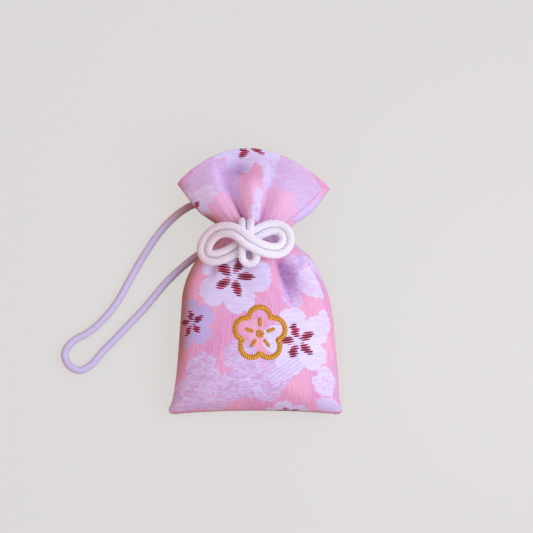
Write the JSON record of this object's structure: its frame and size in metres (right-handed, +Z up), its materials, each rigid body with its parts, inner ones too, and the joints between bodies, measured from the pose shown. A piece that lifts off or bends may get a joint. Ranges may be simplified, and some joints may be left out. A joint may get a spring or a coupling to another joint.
{
  "type": "omamori charm",
  "caption": "Small gathered brocade amulet pouch with lining, wadding and a wrapped prayer slip inside, a bow knotted round its neck and a hanging loop of cord.",
  "frame": {"origin": "on the surface that the pouch lies on, under the middle of the pouch's length and width", "axes": "+X across the pouch to the right of its front, +Y from the bottom seam to the mouth, +Z up out of the front"},
  "size_m": [0.0735, 0.0676, 0.0199],
  "materials": {
    "brocade": "woven silk-like brocade, pink ground with white and lilac blossoms",
    "lining": "thin plain-woven lining, pale pink",
    "thread": "twisted sewing thread",
    "wadding": "soft white wadding",
    "paper": "folded white paper, matte",
    "slip_wood": "thin bare wood",
    "knot_cord": "white braided cord",
    "loop_cord": "pale lilac twisted cord"
  },
  "bodies": {
    "pouch": {"front_panel": "brocade", "back_panel": "brocade", "front_lining": "lining", "back_lining": "lining", "seam_thread": "thread", "front_wadding": "wadding", "back_wadding": "wadding", "neck_tie": "knot_cord", "centre_bight": "knot_cord", "bow_loops": "knot_cord", "hitch_knot": "loop_cord"},
    "talisman": {"paper_wrapper": "paper", "prayer_slip": "slip_wood"},
    "loop": {"hanging_loop": "loop_cord"}
  },
  "joints": [
    {"name": "talisman_slide", "type": "slide", "parent": "pouch", "child": "talisman", "axis": [0, 1, 0], "range_m": [0, 0.004]},
    {"name": "loop_swing", "type": "hinge", "parent": "pouch", "child": "loop", "pos_m": [-0.0015, 0.0132, 0.0012], "axis": [0, 0, 1], "range_deg": [-130, 0]}
  ]
}
